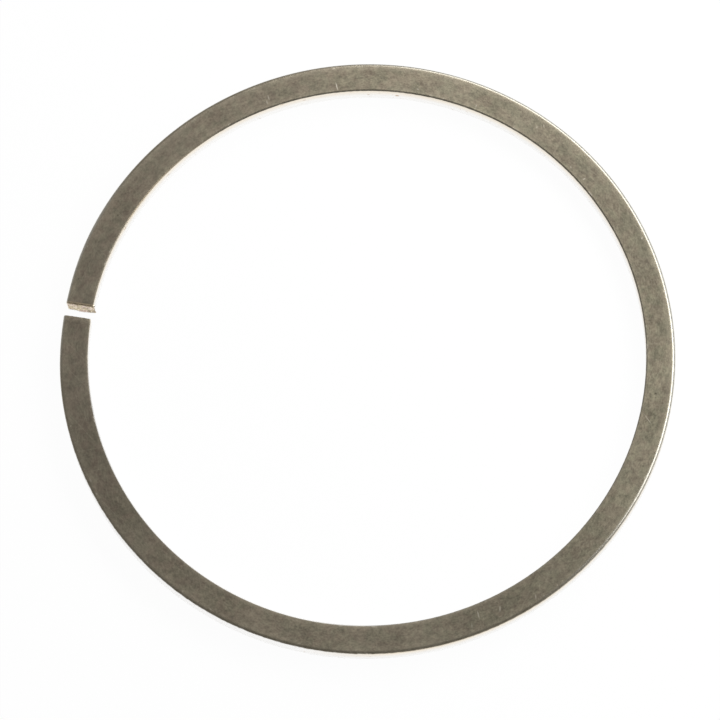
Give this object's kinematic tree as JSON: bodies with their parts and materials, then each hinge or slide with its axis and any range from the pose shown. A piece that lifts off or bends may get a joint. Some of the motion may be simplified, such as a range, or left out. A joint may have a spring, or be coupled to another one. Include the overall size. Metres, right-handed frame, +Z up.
{
  "type": "camshaft seal ring",
  "caption": "Split metal sealing ring of rectangular section with a straight butt gap, for a groove in a camshaft journal.",
  "frame": {"origin": "on the ring's axis, at the lower side face that it lies on", "axes": "+Z up along the ring's axis, -X through the middle of the butt gap"},
  "size_m": [0.0452, 0.0452, 0.0017],
  "materials": {
    "ring_iron": "lapped side faces with a dull olive-grey bloom, bright turned running face and bore, sawn end faces"
  },
  "bodies": {
    "root": {"seal_ring": "ring_iron"}
  },
  "joints": []
}
